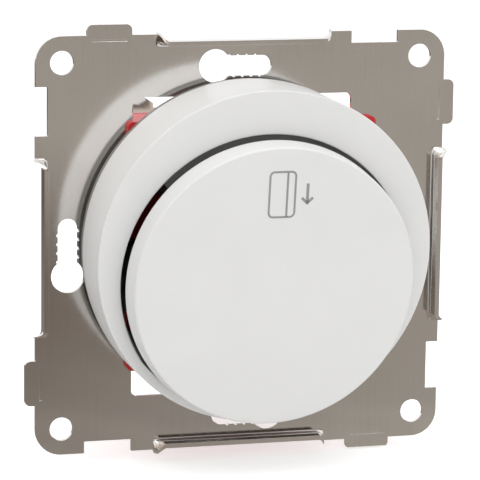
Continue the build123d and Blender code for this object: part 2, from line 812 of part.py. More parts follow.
def make_make_contact():
    """The fixed contact behind the arm, on the strip of the right-hand blade."""
    tip_travel = (contact_x - arm_pivot_x) * sin(radians(arm_swing))
    face_y = arm_y + arm_rest_gap() + tip_travel
    half = contact_strip_half_width
    plate_y = face_y + contact_depth
    blade = blade_places()[2]
    contact = rod_y(contact_r, face_y, plate_y, contact_x, 0)
    contact += span(contact_x - half, contact_x + contact_r, plate_y, plate_y + contact_strip,
                    -contact_r, half)
    contact += contact_blade(blade, plate_y)
    return contact


def make_snap_spring():
    """The bowed strip between the common strip and the back of the arm."""
    half = snap_spring_sheet / 2
    start = (arm_pivot_x + arm_eye_r + moving_gap, arm_y + arm_sheet / 2 + moving_gap + half)
    rise = case_wall + contact_strip
    path = [start, (start[0] + rise, start[1] + rise), (start[0] + 2 * rise, start[1] + rise + half),
            (start[0] + 3 * rise, start[1] + rise), (start[0] + 4 * rise, start[1])]
    face = make_face(Polyline(offset_line(path, half), close=True))
    return Pos(0, 0, -snap_spring_half_width) * extrude(face, 2 * snap_spring_half_width)


# terminals: copper bars, cage clamps and their release buttons
def bar(x0, x1, z0, z1):
    return span(x0, x1, bar_y, bar_y + bar_sheet, z0, z1)


def make_common_bar():
    x = blade_places()[0]
    reach = clamp_low + clamp_sheet
    return bar(x - bar_half_width, x + bar_half_width, -reach, reach)


def make_make_bar():
    x = blade_places()[2]
    return bar(x - bar_half_width, x + bar_half_width, -contact_strip / 2, clamp_low + clamp_sheet)


def make_break_bar():
    reach = clamp_low + clamp_sheet
    low = bar(-blade_half_width, clamp_x, -reach, -reach + 2 * bar_half_width)
    return low + bar(-blade_half_width, blade_half_width, -reach, contact_strip / 2)


def one_clamp():
    """A C-shaped cage, open towards the middle, at the upper right place."""
    half_w = clamp_width / 2
    y0 = bar_y - clamp_length
    cage = span(clamp_x - half_w, clamp_x + half_w, y0, bar_y, clamp_low, clamp_low + clamp_height)
    return cage - span(clamp_x - half_w - overrun, clamp_x + half_w - clamp_sheet,
                       y0 - overrun, bar_y + overrun,
                       clamp_low + clamp_sheet, clamp_low + clamp_height - clamp_sheet)


def left_and_right(shape):
    return [shape, mirror(shape, Plane.YZ)]


def make_clamp_cages():
    upper = left_and_right(one_clamp())
    return Compound(children=upper + [mirror(cage, Plane.XY) for cage in upper])


def make_clamp_springs(side):
    """The pair of bent strips that press the wires against their cages."""
    half = clamp_spring_sheet / 2
    outer_x = clamp_x + clamp_width / 2 - clamp_sheet - fit_gap - half
    inner_x = clamp_x - clamp_width / 2 + clamp_sheet
    front_y = bar_y - clamp_length + clamp_sheet
    path = [(outer_x, bar_y - clamp_length / 4), (outer_x, front_y), (inner_x, front_y + clamp_sheet),
            (clamp_x + clamp_sheet, bar_y - clamp_length / 2)]
    face = make_face(Polyline(offset_line(path, half), close=True))
    spring = extrude(face, 2 * clamp_spring_half_height)
    return Compound(children=left_and_right(Pos(0, 0, side * clamp_mid - clamp_spring_half_height) * spring))


def make_release_button(side):
    """A push bar in the back cover, with two wings that reach the clamp springs."""
    middle = side * clamp_mid
    wing_y = bar_y - button_wing_lead
    low = middle - button_half_height
    high = middle + button_half_height
    button = span(-button_half_width, button_half_width, wing_y, back_y + button_proud, low, high)
    return button + span(-button_wing_x, button_wing_x, wing_y, wing_y + button_wing_depth, low, high)


nodes = {
    "mounting_plate": make_mounting_plate(),
    "ring_cover": make_ring_cover(),
    "front_disc": make_front_disc(),
    "disc_backing": make_disc_backing(),
    "disc_screws": make_disc_screws(),
    "card_carrier": make_card_carrier(),
    "carrier_screws": make_carrier_screws(),
    "cover_springs": make_cover_springs(),
    "housing": make_housing(),
    "housing_back": make_housing_back(),
    "back_screws": make_back_screws(),
    "card_lever": make_card_lever(),
    "lever_pin": make_lever_pin(),
    "lever_spring": make_lever_spring(),
    "switch_case": make_switch_case(),
    "switch_lid": make_switch_lid(),
    "switch_pins": make_switch_pins(),
    "switch_plunger": make_switch_plunger(),
    "contact_arm": make_contact_arm(),
    "snap_spring": make_snap_spring(),
    "common_contact": make_common_contact(),
    "break_contact": make_break_contact(),
    "make_contact": make_make_contact(),
    "common_bar": make_common_bar(),
    "make_bar": make_make_bar(),
    "break_bar": make_break_bar(),
    "clamp_cages": make_clamp_cages(),
    "clamp_springs_top": make_clamp_springs(1),
    "clamp_springs_bottom": make_clamp_springs(-1),
    "release_button_top": make_release_button(1),
    "release_button_bottom": make_release_button(-1),
}

for name, shape in nodes.items():
    export_step(shape, f"parts/{name}.step")
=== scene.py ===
import json
import bmesh
import bpy
import numpy as np
from mathutils import Matrix, Vector


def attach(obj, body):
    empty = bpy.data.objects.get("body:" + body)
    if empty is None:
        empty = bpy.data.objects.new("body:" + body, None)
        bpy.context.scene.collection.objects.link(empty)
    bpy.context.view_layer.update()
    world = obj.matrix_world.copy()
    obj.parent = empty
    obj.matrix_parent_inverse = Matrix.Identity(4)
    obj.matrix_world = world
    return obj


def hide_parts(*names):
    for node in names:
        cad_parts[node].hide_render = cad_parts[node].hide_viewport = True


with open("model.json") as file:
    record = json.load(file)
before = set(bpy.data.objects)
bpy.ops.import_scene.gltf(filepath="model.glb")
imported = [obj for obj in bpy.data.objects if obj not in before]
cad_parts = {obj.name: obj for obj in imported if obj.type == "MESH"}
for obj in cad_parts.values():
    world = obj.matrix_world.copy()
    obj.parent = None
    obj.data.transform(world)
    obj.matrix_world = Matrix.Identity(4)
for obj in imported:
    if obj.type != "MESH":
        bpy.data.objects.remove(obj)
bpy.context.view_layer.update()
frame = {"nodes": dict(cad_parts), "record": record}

mm = 0.001                                     # every dictionary below is in millimetres
print("frame loaded:", len(frame["nodes"]), "nodes")


# Small helpers for meshes.

# Quads of a grid of rows by columns points: each quad joins (i, j), (i+1, j), (i+1, j+1), (i, j+1).
def gridFaces(rows, columns, closedRows=False, closedColumns=False, offset=0):
    i = np.arange(rows if closedRows else rows - 1)
    j = np.arange(columns if closedColumns else columns - 1)
    i, j = np.meshgrid(i, j, indexing="ij")
    nextI = (i + 1) % rows
    nextJ = (j + 1) % columns
    here, below = i * columns, nextI * columns
    quads = np.stack([here + j, below + j, below + nextJ, here + nextJ], axis=-1)
    return quads.reshape(-1, 4) + offset


# Triangles that join each step of a closed row of points to one middle point.
def fanFaces(row, middle):
    following = np.roll(row, -1)
    return np.stack([row, following, np.full(len(row), middle)], axis=-1)


# Twice the signed volume under each triangle or quad, summed: positive when the faces point outwards.
def signedVolume(points, faceSets):
    total = 0.0
    for faces in faceSets:
        corners = points[faces]
        for k in range(1, faces.shape[1] - 1):
            total += np.einsum("ij,ij->i", corners[:, 0], np.cross(corners[:, k], corners[:, k + 1])).sum()
    return total


# A mesh object at the origin from points in millimetres and sets of triangles or quads.
def addMesh(name, points, faceSets, material, body, sharpAngle=40.0):
    points = np.asarray(points, float).reshape(-1, 3)
    if signedVolume(points, faceSets) < 0:
        faceSets = [faces[:, ::-1] for faces in faceSets]
    mesh = bpy.data.meshes.new(name)
    mesh.from_pydata((points * mm).tolist(), [], [face for faces in faceSets for face in faces.tolist()])
    mesh.validate()
    mesh.shade_smooth()
    mesh.set_sharp_from_angle(angle=np.radians(sharpAngle))
    mesh.materials.append(material)
    piece = bpy.data.objects.new(name, mesh)
    bpy.context.scene.collection.objects.link(piece)
    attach(piece, body)
    return piece


# A rounded corner: the point at share t on the conic from start to end whose tangents meet at the corner,
# ((1-t)^2 start + 2wt(1-t) corner + t^2 end) / ((1-t)^2 + 2wt(1-t) + t^2), with w the cosine of 45 degrees.
def cornerArc(start, corner, end, steps):
    t = np.linspace(0, 1, steps)[None, :, None]
    w = np.cos(np.pi / 4)
    a, b, c = (1 - t) ** 2, 2 * w * t * (1 - t), t ** 2
    return (a * start[:, None] + b * corner[:, None] + c * end[:, None]) / (a + b + c)


runShares = (0.04, 0.3, 0.7, 0.96)             # places of the points along a run between two corners


# A profile through corners (angles, corners, 2), each rounded off by its own trim. A run between two corners
# gets a point close to each end, so that shading stays flat along it.
def roundedProfile(corners, trims, steps, closed):
    count = corners.shape[1]
    strips = []
    for k in range(count):
        here = corners[:, k]
        last = corners[:, (k - 1) % count]
        following = corners[:, (k + 1) % count]
        if not closed and k in (0, count - 1):
            strips.append(here[:, None])
            continue
        back = (last - here) / np.linalg.norm(last - here, axis=-1, keepdims=True)
        ahead = (following - here) / np.linalg.norm(following - here, axis=-1, keepdims=True)
        strips.append(cornerArc(here + trims[k] * back, here, here + trims[k] * ahead, steps))
    rows = []
    shares = np.array(runShares)[None, :, None]
    for k, strip in enumerate(strips):
        rows.append(strip)
        if closed or k < count - 1:
            start = strip[:, -1]
            end = strips[(k + 1) % count][:, 0]
            rows.append(start[:, None] + shares * (end - start)[:, None])
    return np.concatenate(rows, axis=1)


# Shared effects for the materials.

def newGroup(name, inputs, outputs):
    group = bpy.data.node_groups.new(name, "ShaderNodeTree")
    for label, kind, value in inputs:
        socket = group.interface.new_socket(label, in_out="INPUT", socket_type=kind)
        if value is not None:
            socket.default_value = value
    for label, kind in outputs:
        group.interface.new_socket(label, in_out="OUTPUT", socket_type=kind)
    return group, group.nodes.new("NodeGroupInput"), group.nodes.new("NodeGroupOutput")


def mathNode(tree, operation, first, second, clamp=False):
    node = tree.nodes.new("ShaderNodeMath")
    node.operation = operation
    node.use_clamp = clamp
    for socket, value in zip(node.inputs, (first, second)):
        if isinstance(value, bpy.types.NodeSocket):
            tree.links.new(value, socket)
        else:
            socket.default_value = value
    return node.outputs[0]


def rangeNode(tree, value, low, high, newLow, newHigh):
    node = tree.nodes.new("ShaderNodeMapRange")
    tree.links.new(value, node.inputs["Value"])
    for label, number in (("From Min", low), ("From Max", high), ("To Min", newLow), ("To Max", newHigh)):
        node.inputs[label].default_value = number
    return node.outputs["Result"]


def weightedSum(tree, first, firstShare, second, secondShare):
    return mathNode(tree, "ADD", mathNode(tree, "MULTIPLY", first, firstShare),
                    mathNode(tree, "MULTIPLY", second, secondShare))


def noiseNode(tree, vector, scale, detail=3.0, roughness=0.5, distortion=0.0):
    node = tree.nodes.new("ShaderNodeTexNoise")
    tree.links.new(vector, node.inputs["Vector"])
    node.inputs["Scale"].default_value = scale
    node.inputs["Detail"].default_value = detail
    node.inputs["Roughness"].default_value = roughness
    node.inputs["Distortion"].default_value = distortion
    return node.outputs["Fac"]


def stretchNode(tree, vector, scale):
    node = tree.nodes.new("ShaderNodeMapping")
    tree.links.new(vector, node.inputs["Vector"])
    node.inputs["Scale"].default_value = scale
    return node.outputs["Vector"]


def mixColour(tree, share, first, second):
    node = tree.nodes.new("ShaderNodeMix")
    node.data_type = "RGBA"
    for label, value in (("Factor", share), ("A", first), ("B", second)):
        socket = next(s for s in node.inputs if s.name == label and s.enabled)
        if isinstance(value, bpy.types.NodeSocket):
            tree.links.new(value, socket)
        else:
            socket.default_value = (*value, 1.0)
    return next(s for s in node.outputs if s.enabled)


midNoise = (0.3, 0.7)                          # most of a noise lies between these two
mould = dict(grain=5200.0, flow=55.0, wave=190.0, grainShare=0.35, waveShare=0.65)
rolled = dict(streak=(2600.0, 2600.0, 45.0), cloud=42.0, pit=3400.0, streakShare=0.5, pitShare=0.5)
worn = dict(samples=4, width=0.3, flat=0.999, sharp=0.86, noise=900.0, low=0.35, high=0.62, least=0.25)


# Moulded grain: a fine spark-eroded texture, a soft swirl left by the flow of the plastic, and their height.
def makeMouldGrain():
    group, entry, leave = newGroup("mouldGrain", [("Vector", "NodeSocketVector", None)],
                                   [("Grain", "NodeSocketFloat"), ("Flow", "NodeSocketFloat"),
                                    ("Height", "NodeSocketFloat")])
    vector = entry.outputs["Vector"]
    grain = noiseNode(group, vector, mould["grain"], 2.0, 0.6)
    flow = noiseNode(group, vector, mould["flow"], 3.0, 0.5, 1.2)
    wave = noiseNode(group, vector, mould["wave"], 2.0)
    height = weightedSum(group, grain, mould["grainShare"], wave, mould["waveShare"])
    for label, value in (("Grain", grain), ("Flow", flow), ("Height", height)):
        group.links.new(value, leave.inputs[label])
    return group


# Rolled sheet: long streaks from the rolls, cloudy patches in the plating, and fine pitting.
def makeRolledSheet():
    group, entry, leave = newGroup("rolledSheet", [("Vector", "NodeSocketVector", None)],
                                   [("Streak", "NodeSocketFloat"), ("Cloud", "NodeSocketFloat"),
                                    ("Pit", "NodeSocketFloat"), ("Height", "NodeSocketFloat")])
    vector = entry.outputs["Vector"]
    streak = noiseNode(group, stretchNode(group, vector, rolled["streak"]), 1.0, 3.0, 0.6)
    cloud = noiseNode(group, vector, rolled["cloud"], 4.0, 0.55, 0.8)
    pit = noiseNode(group, vector, rolled["pit"], 2.0, 0.7)
    height = weightedSum(group, streak, rolled["streakShare"], pit, rolled["pitShare"])
    for label, value in (("Streak", streak), ("Cloud", cloud), ("Pit", pit), ("Height", height)):
        group.links.new(value, leave.inputs[label])
    return group


# Edge wear: how far a softened normal leans away from the true one, broken up by noise.
def makeEdgeWear():
    group, entry, leave = newGroup("edgeWear", [("Vector", "NodeSocketVector", None),
                                                ("Width", "NodeSocketFloat", worn["width"] * mm)],
                                   [("Mask", "NodeSocketFloat")])
    soft = group.nodes.new("ShaderNodeBevel")
    soft.samples = worn["samples"]
    group.links.new(entry.outputs["Width"], soft.inputs["Radius"])
    geometry = group.nodes.new("ShaderNodeNewGeometry")
    dot = group.nodes.new("ShaderNodeVectorMath")
    dot.operation = "DOT_PRODUCT"
    group.links.new(soft.outputs["Normal"], dot.inputs[0])
    group.links.new(geometry.outputs["Normal"], dot.inputs[1])
    edge = rangeNode(group, dot.outputs["Value"], worn["flat"], worn["sharp"], 0.0, 1.0)
    noise = noiseNode(group, entry.outputs["Vector"], worn["noise"], 3.0, 0.6)
    broken = rangeNode(group, noise, worn["low"], worn["high"], worn["least"], 1.0)
    group.links.new(mathNode(group, "MULTIPLY", edge, broken, True), leave.inputs["Mask"])
    return group


effects = {"mouldGrain": makeMouldGrain(), "rolledSheet": makeRolledSheet(), "edgeWear": makeEdgeWear()}
print("shared effects made:", len(effects))


# Materials.

def startMaterial(name):
    material = bpy.data.materials.new(name)
    material.use_nodes = True
    tree = material.node_tree
    place = tree.nodes.new("ShaderNodeTexCoord").outputs["Object"]
    return material, tree, tree.nodes["Principled BSDF"], place


def addEffect(tree, name, place):
    node = tree.nodes.new("ShaderNodeGroup")
    node.node_tree = effects[name]
    tree.links.new(place, node.inputs["Vector"])
    return node


def addBump(tree, shader, height, strength, distance):
    bump = tree.nodes.new("ShaderNodeBump")
    bump.inputs["Strength"].default_value = strength
    bump.inputs["Distance"].default_value = distance
    tree.links.new(height, bump.inputs["Height"])
    tree.links.new(bump.outputs["Normal"], shader.inputs["Normal"])


# Moulded plastic: two close colours mixed by the flow, grain in roughness and bump, edges rubbed paler.
def makePlastic(name, finish):
    material, tree, shader, place = startMaterial(name)
    grain = addEffect(tree, "mouldGrain", place)
    wear = addEffect(tree, "edgeWear", place)
    wear.inputs["Width"].default_value = finish["edgeWidth"] * mm
    share = rangeNode(tree, grain.outputs["Flow"], *midNoise, 0.0, 1.0)
    body = mixColour(tree, share, finish["colour"], finish["shade"])
    rubbed = mathNode(tree, "MULTIPLY", wear.outputs["Mask"], finish["wear"])
    tree.links.new(mixColour(tree, rubbed, body, finish["rub"]), shader.inputs["Base Color"])
    rough = rangeNode(tree, grain.outputs["Grain"], *midNoise, *finish["roughness"])
    tree.links.new(rough, shader.inputs["Roughness"])
    shader.inputs["IOR"].default_value = finish["ior"]
    addBump(tree, shader, grain.outputs["Height"], finish["bump"], finish["bumpDepth"] * mm)
    return material


cloudNoise = (0.32, 0.68)                      # the span of the clouds between a metal's two tones
pitRoughness = 0.03                            # how much pits add to a metal's roughness or take from it


# Bare or plated metal: two tones mixed by clouds and streaks, clouds and pits in the roughness, bright edges.
def makeMetal(name, finish):
    material, tree, shader, place = startMaterial(name)
    sheet = addEffect(tree, "rolledSheet", place)
    wear = addEffect(tree, "edgeWear", place)
    wear.inputs["Width"].default_value = finish["edgeWidth"] * mm
    cloud = rangeNode(tree, sheet.outputs["Cloud"], *cloudNoise, 0.0, 1.0)
    streak = rangeNode(tree, sheet.outputs["Streak"], *midNoise, 0.0, finish["streak"])
    share = mathNode(tree, "ADD", mathNode(tree, "MULTIPLY", cloud, 1.0 - finish["streak"]), streak, True)
    body = mixColour(tree, share, finish["colour"], finish["shade"])
    rubbed = mathNode(tree, "MULTIPLY", wear.outputs["Mask"], finish["wear"])
    tree.links.new(mixColour(tree, rubbed, body, finish["rub"]), shader.inputs["Base Color"])
    rough = rangeNode(tree, sheet.outputs["Cloud"], *midNoise, *finish["roughness"])
    pits = rangeNode(tree, sheet.outputs["Pit"], *midNoise, -pitRoughness, pitRoughness)
    rough = mathNode(tree, "ADD", rough, pits)
    tree.links.new(rough, shader.inputs["Roughness"])
    shader.inputs["Metallic"].default_value = 1.0
    addBump(tree, shader, sheet.outputs["Height"], finish["bump"], finish["bumpDepth"] * mm)
    return material


plastics = {
    "white_plastic": dict(
        colour=(0.800, 0.798, 0.786), shade=(0.780, 0.778, 0.768), rub=(0.86, 0.86, 0.85), wear=0.12,
        edgeWidth=0.25, roughness=(0.34, 0.44), ior=1.46, bump=0.10, bumpDepth=0.02),
    "red_plastic": dict(
        colour=(0.600, 0.018, 0.022), shade=(0.520, 0.012, 0.016), rub=(0.70, 0.09, 0.08), wear=0.5,
        edgeWidth=0.25, roughness=(0.30, 0.42), ior=1.50, bump=0.14, bumpDepth=0.03),
    "grey_plastic": dict(
        colour=(0.220, 0.225, 0.222), shade=(0.185, 0.190, 0.190), rub=(0.36, 0.36, 0.35), wear=0.4,
        edgeWidth=0.25, roughness=(0.38, 0.50), ior=1.48, bump=0.14, bumpDepth=0.03),
    "dark_plastic": dict(
        colour=(0.235, 0.235, 0.222), shade=(0.205, 0.205, 0.195), rub=(0.29, 0.29, 0.28), wear=0.3,
        edgeWidth=0.25, roughness=(0.42, 0.55), ior=1.48, bump=0.16, bumpDepth=0.03),
    "black_plastic": dict(
        colour=(0.022, 0.022, 0.023), shade=(0.014, 0.014, 0.015), rub=(0.09, 0.09, 0.09), wear=0.4,
        edgeWidth=0.25, roughness=(0.40, 0.52), ior=1.48, bump=0.16, bumpDepth=0.03),
}
metals = {
    "zinc_sheet": dict(
        colour=(0.860, 0.845, 0.825), shade=(0.790, 0.770, 0.745), rub=(0.92, 0.91, 0.90), wear=0.75,
        edgeWidth=0.18, streak=0.35, roughness=(0.10, 0.14), bump=0.06, bumpDepth=0.01),
    "screw_steel": dict(
        colour=(0.50, 0.49, 0.46), shade=(0.40, 0.39, 0.36), rub=(0.72, 0.71, 0.68), wear=0.7,
        edgeWidth=0.15, streak=0.2, roughness=(0.20, 0.32), bump=0.10, bumpDepth=0.02),
    "spring_steel": dict(
        colour=(0.42, 0.42, 0.43), shade=(0.33, 0.33, 0.34), rub=(0.66, 0.66, 0.66), wear=0.6,
        edgeWidth=0.12, streak=0.5, roughness=(0.16, 0.28), bump=0.08, bumpDepth=0.01),
    "contact_brass": dict(
        colour=(0.62, 0.43, 0.20), shade=(0.50, 0.32, 0.13), rub=(0.84, 0.68, 0.40), wear=0.6,
        edgeWidth=0.12, streak=0.4, roughness=(0.20, 0.34), bump=0.10, bumpDepth=0.02),
}
finishes = {name: makePlastic(name, finish) for name, finish in plastics.items()}
finishes.update({name: makeMetal(name, finish) for name, finish in metals.items()})

inkFinish = dict(
    colour=(0.345, 0.350, 0.342), shade=(0.300, 0.305, 0.298), rub=(0.40, 0.40, 0.39), wear=0.1,
    edgeWidth=0.02, roughness=(0.42, 0.55), ior=1.45, bump=0.10, bumpDepth=0.004)
finishes["printed_grey"] = makePlastic("printed_grey", inkFinish)
print("materials made:", len(finishes))


# Round cover.

ringCover = dict(
    radius=28.3, wall=1.3, frontWall=1.8, rear=-4.3, frontAtMiddle=-16.55, lean=7.0, drop=3.44,
    mouthRadius=24.42, mouthInset=0.5, frontEdge=0.18, mouthEdge=0.18, insideEdge=0.15, rearEdge=0.2,
    angles=320, steps=7)


# The leaning front plane: y falls by tan(lean) for each step up in z.
def leaningY(z, atMiddle, lean):
    return atMiddle - z * np.tan(np.radians(lean))


# The cover is one closed strip round the Y axis: at each angle the profile runs up the outer wall, over the
# front edge, across the leaning front to the mouth, through it and back down the inner wall. The mouth is at
# r = -d sin(a) + sqrt(R^2 - d^2 cos(a)^2), a circle of radius R with its middle d lower, inside the wall.
def ringPoints(ring):
    angle = np.linspace(0, 2 * np.pi, ring["angles"], endpoint=False)
    sine, cosine = np.sin(angle), np.cos(angle)
    outer = np.full_like(angle, ring["radius"])
    inner = outer - ring["wall"]
    drop = ring["drop"]
    mouth = -drop * sine + np.sqrt(ring["mouthRadius"] ** 2 - (drop * cosine) ** 2)
    mouth = np.minimum(mouth, inner - ring["mouthInset"])
    depth = ring["frontWall"] / np.cos(np.radians(ring["lean"]))
    front = lambda r: leaningY(r * sine, ring["frontAtMiddle"], ring["lean"])
    rear = np.full_like(angle, ring["rear"])
    corners = np.stack([np.stack(pair, axis=-1) for pair in (
        (outer, rear), (outer, front(outer)), (mouth, front(mouth)), (mouth, front(mouth) + depth),
        (inner, front(inner) + depth), (inner, rear))], axis=1)
    trims = (ring["rearEdge"], ring["frontEdge"], ring["mouthEdge"], ring["insideEdge"], ring["insideEdge"],
             ring["rearEdge"])
    profile = roundedProfile(corners, trims, ring["steps"], closed=True)
    radius, y = profile[..., 0], profile[..., 1]
    return np.stack([radius * cosine[:, None], y, radius * sine[:, None]], axis=-1)


points = ringPoints(ringCover)
ring = addMesh("roundCover", points, [gridFaces(*points.shape[:2], closedRows=True, closedColumns=True)],
               finishes["white_plastic"], "body")
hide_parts("ring_cover")
print("round cover made:", len(ring.data.polygons), "faces")


# Disc.

disc = dict(
    drop=3.44, rearRadius=24.0, draft=0.42, depth=5.0, faceLean=8.1, cardGap=1.43, wall=1.8, frontEdge=0.38,
    rearEdge=0.12, insideEdge=0.5, middleShare=0.02, angles=320, steps=7)


# The face is a plane through the disc's middle, which lies a card gap and a disc's depth before the cover.
def facePlane(z):
    coverY = leaningY(-disc["drop"], ringCover["frontAtMiddle"], ringCover["lean"])
    middle = coverY - disc["cardGap"] - disc["depth"]
    return middle - (z + disc["drop"]) * np.tan(np.radians(disc["faceLean"]))


# The disc is a cup round an axis along Y: from the middle of the face out to the edge, back along the wall,
# round the rim, forward inside the wall and in to the middle of the roof. The wall is a cone that widens by
# k = draft / depth, and it meets a plane that leans by a at r = R / (1 + k sin(angle) tan(a)).
def discPoints(cup):
    angle = np.linspace(0, 2 * np.pi, cup["angles"], endpoint=False)
    sine, cosine = np.sin(angle), np.cos(angle)
    height = lambda r: r * sine - cup["drop"]
    meeting = lambda r, lean: r / (1 + cup["draft"] / cup["depth"] * sine * np.tan(np.radians(lean)))
    frontRadius = meeting(cup["rearRadius"] - cup["draft"], cup["faceLean"])
    rearRadius = meeting(cup["rearRadius"], ringCover["lean"])
    insideRadius = np.full_like(angle, cup["rearRadius"] - cup["draft"] - cup["wall"])
    gap = cup["cardGap"] / np.cos(np.radians(ringCover["lean"]))
    rear = lambda r: leaningY(height(r), ringCover["frontAtMiddle"], ringCover["lean"]) - gap
    roof = lambda r: rear(r) - cup["depth"] + cup["wall"]
    nearMiddle = frontRadius * cup["middleShare"]
    corners = np.stack([np.stack(pair, axis=-1) for pair in (
        (nearMiddle, facePlane(height(nearMiddle))), (frontRadius, facePlane(height(frontRadius))),
        (rearRadius, rear(rearRadius)), (insideRadius, rear(insideRadius)),
        (insideRadius, roof(insideRadius)), (nearMiddle, roof(nearMiddle)))], axis=1)
    trims = (0, cup["frontEdge"], cup["rearEdge"], cup["rearEdge"], cup["insideEdge"], 0)
    profile = roundedProfile(corners, trims, cup["steps"], closed=False)
    radius, y = profile[..., 0], profile[..., 1]
    grid = np.stack([radius * cosine[:, None], y, radius * sine[:, None] - cup["drop"]], axis=-1)
    middles = [(0, facePlane(-cup["drop"]), -cup["drop"]), (0, roof(np.zeros_like(angle))[0], -cup["drop"])]
    return grid, middles


grid, middles = discPoints(disc)
rows, columns = grid.shape[:2]
faceFan = fanFaces(np.arange(rows) * columns, rows * columns)[:, ::-1]
roofFan = fanFaces(np.arange(rows) * columns + columns - 1, rows * columns + 1)
points = np.concatenate([grid.reshape(-1, 3), np.array(middles)])
cap = addMesh("leaningDisc", points, [gridFaces(rows, columns, closedRows=True), faceFan, roofFan],
              finishes["white_plastic"], "body")
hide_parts("front_disc")
print("disc made:", len(cap.data.polygons), "faces")


# Printed card and arrow.

cardSign = dict(
    left=-1.95, right=2.35, top=15.80, bottom=8.24, corner=0.75, stripe=1.03, line=0.34, thickness=0.02,
    cornerSteps=9, bendLimit=0.4)
arrowSign = dict(x=4.45, top=13.75, tip=10.472, shaft=0.48, armX=0.93, armZ=0.896, arm=0.46)


# A stroke is a ribbon along a line of points: each point moves half the width to both sides along the mean
# normal of its two runs, lengthened at bends, and the ribbon has a lower and an upper skin.
def strokePoints(path, width, closed):
    path = np.asarray(path, float)
    ahead = np.roll(path, -1, axis=0) - path
    behind = path - np.roll(path, 1, axis=0)
    if not closed:
        ahead[-1] = behind[-1]
        behind[0] = ahead[0]
    ahead /= np.linalg.norm(ahead, axis=1, keepdims=True)
    behind /= np.linalg.norm(behind, axis=1, keepdims=True)
    normal = np.stack([-(ahead + behind)[:, 1], (ahead + behind)[:, 0]], axis=-1)
    normal /= np.linalg.norm(normal, axis=1, keepdims=True)
    across = np.stack([-ahead[:, 1], ahead[:, 0]], axis=-1)
    stretch = 1 / np.maximum((normal * across).sum(1), cardSign["bendLimit"])
    offset = normal * stretch[:, None] * width / 2
    left, right = path + offset, path - offset
    thickness = cardSign["thickness"]
    skin = lambda flat, rise: np.stack([flat[:, 0], facePlane(flat[:, 1]) - rise, flat[:, 1]], axis=-1)
    return np.stack([skin(left, -thickness), skin(left, thickness),
                     skin(right, thickness), skin(right, -thickness)], axis=1)


def addStroke(name, path, width, closed=False):
    points = strokePoints(path, width, closed)
    rows = len(points)
    faces = [gridFaces(rows, 4, closedRows=closed, closedColumns=True)]
    if not closed:
        faces.append(np.array([[3, 2, 1, 0], [4 * rows - 4, 4 * rows - 3, 4 * rows - 2, 4 * rows - 1]]))
    return addMesh(name, points, faces, finishes["printed_grey"], "body", sharpAngle=30.0)


# The card's outline: four quarter circles, each placed at its corner's middle and joined by straight runs.
def roundedOutline(sign):
    quarter = np.pi / 2
    turn = np.linspace(0, quarter, sign["cornerSteps"])
    r = sign["corner"]
    quarters = [(sign["right"] - r, sign["top"] - r, 0), (sign["left"] + r, sign["top"] - r, 1),
                (sign["left"] + r, sign["bottom"] + r, 2), (sign["right"] - r, sign["bottom"] + r, 3)]
    return np.concatenate([
        np.stack([x + r * np.cos(turn + k * quarter), z + r * np.sin(turn + k * quarter)], axis=-1)
        for x, z, k in quarters])


addStroke("cardOutline", roundedOutline(cardSign), cardSign["line"], closed=True)
addStroke("cardStripe", [(cardSign["stripe"], cardSign["bottom"]), (cardSign["stripe"], cardSign["top"])],
          cardSign["line"])
arrowX, tipZ = arrowSign["x"], arrowSign["tip"]
armEndZ = tipZ + arrowSign["armZ"]
addStroke("arrowShaft", [(arrowX, arrowSign["top"]), (arrowX, tipZ)], arrowSign["shaft"])
armEnds = [(arrowX + side * arrowSign["armX"], armEndZ) for side in (-1, 1)]
addStroke("arrowHead", [armEnds[0], (arrowX, tipZ), armEnds[1]], arrowSign["arm"])
print("printed card and arrow made")


# Pieces that keep their shape and get rounded edges.

edging = dict(segments=2, angle=35.0, merge=0.001, flat=0.3)
edged = {
    "mounting_plate": dict(name="mountingPlate", slot="zinc_sheet", width=0.07),
    "housing": dict(name="redHousing", slot="red_plastic", width=0.15),
    "housing_back": dict(name="backCover", slot="grey_plastic", width=0.12),
    "card_carrier": dict(name="carrierPlate", slot="dark_plastic", width=0.10),
    "disc_backing": dict(name="discBacking", slot="white_plastic", width=0.08),
    "card_lever": dict(name="cardLever", slot="grey_plastic", width=0.08),
    "switch_case": dict(name="switchCase", slot="black_plastic", width=0.06),
    "switch_lid": dict(name="switchLid", slot="black_plastic", width=0.06),
    "release_button_top": dict(name="releaseButtonTop", slot="white_plastic", width=0.10),
    "release_button_bottom": dict(name="releaseButtonBottom", slot="white_plastic", width=0.10),
}


# A copy of the node's mesh with its doubles merged and its flat faces joined, ready for a narrow bevel.
def mergedCopy(node, name):
    source = frame["nodes"][node]
    mesh = bpy.data.meshes.new(name)
    work = bmesh.new()
    work.from_mesh(source.data)
    bmesh.ops.remove_doubles(work, verts=work.verts, dist=edging["merge"] * mm)
    bmesh.ops.dissolve_limit(work, angle_limit=np.radians(edging["flat"]), verts=work.verts, edges=work.edges)
    work.to_mesh(mesh)
    work.free()
    return mesh


def bodyOf(node):
    for body, members in frame["record"]["behaviour"]["bodies"].items():
        if node in members:
            return body


def addEdged(node, look):
    mesh = mergedCopy(node, look["name"])
    mesh.shade_smooth()
    mesh.set_sharp_from_angle(angle=np.radians(edging["angle"]))
    mesh.materials.clear()
    mesh.materials.append(finishes[look["slot"]])
    piece = bpy.data.objects.new(look["name"], mesh)
    bpy.context.scene.collection.objects.link(piece)
    bevel = piece.modifiers.new("roundedEdges", "BEVEL")
    bevel.width = look["width"] * mm
    bevel.segments = edging["segments"]
    bevel.limit_method = "ANGLE"
    bevel.angle_limit = np.radians(edging["angle"])
    bevel.use_clamp_overlap = True
    flatness = piece.modifiers.new("flatFaces", "WEIGHTED_NORMAL")
    flatness.mode = "FACE_AREA"
    flatness.keep_sharp = True
    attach(piece, bodyOf(node))
    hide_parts(node)


